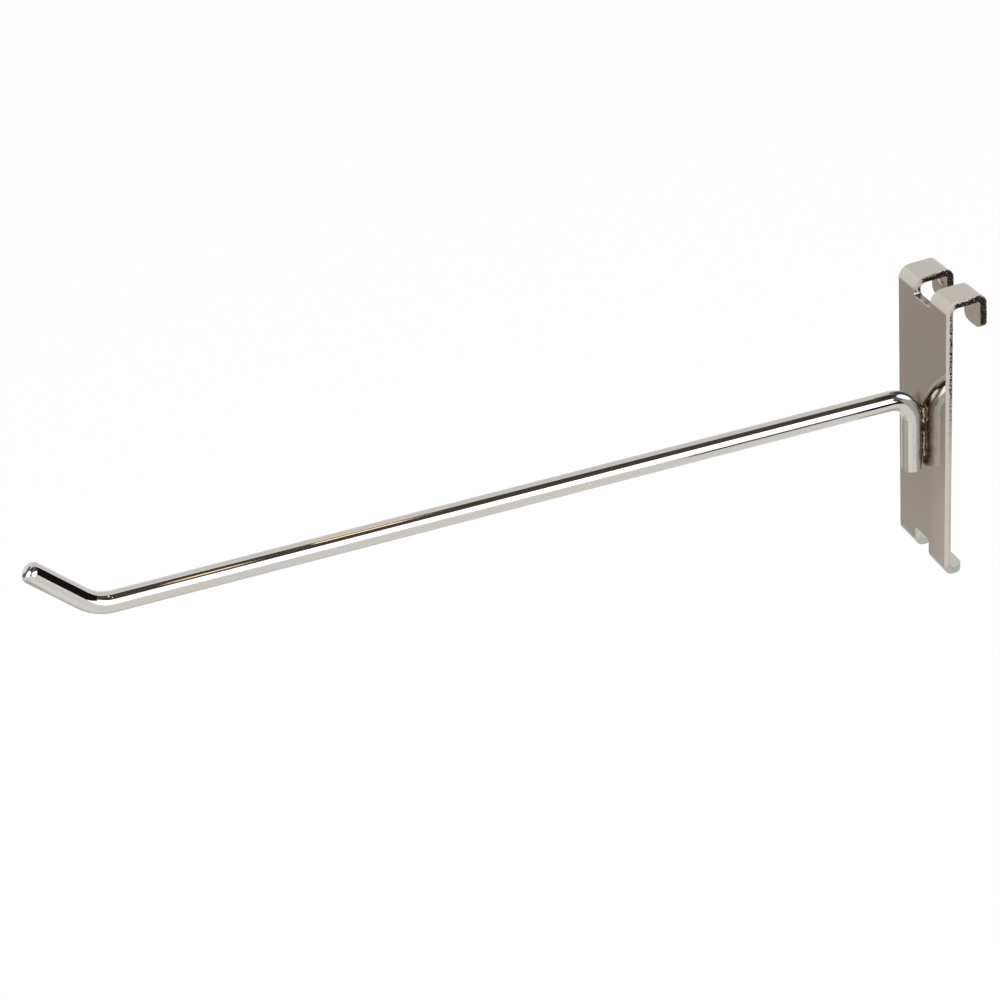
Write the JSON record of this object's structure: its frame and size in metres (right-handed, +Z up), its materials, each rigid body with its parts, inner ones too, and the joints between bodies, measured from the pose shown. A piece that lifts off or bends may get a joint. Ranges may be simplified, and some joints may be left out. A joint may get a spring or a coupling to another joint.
{
  "type": "gridwall hook",
  "caption": "Straight peg hook for a wire grid wall: a long round wire arm with a turned-up tip, welded to a folded plate with lugs and foot tabs.",
  "frame": {"origin": "on the axis of the upper horizontal grid wire as it sits under the lugs against the back face of the plate, midway across the plate", "axes": "+Z up, +Y back into the grid, -Y along the arm (which rises 2.6 degrees towards its tip), +X across the plate"},
  "size_m": [0.0254, 0.2597, 0.089],
  "materials": {
    "back_plate": "bright plated sheet",
    "wire_arm": "bright plated wire",
    "upper_weld": "plated weld metal, heat-tinted",
    "lower_weld": "plated weld metal, heat-tinted"
  },
  "bodies": {
    "root": {"back_plate": "back_plate", "wire_arm": "wire_arm", "upper_weld": "upper_weld", "lower_weld": "lower_weld"}
  },
  "joints": []
}
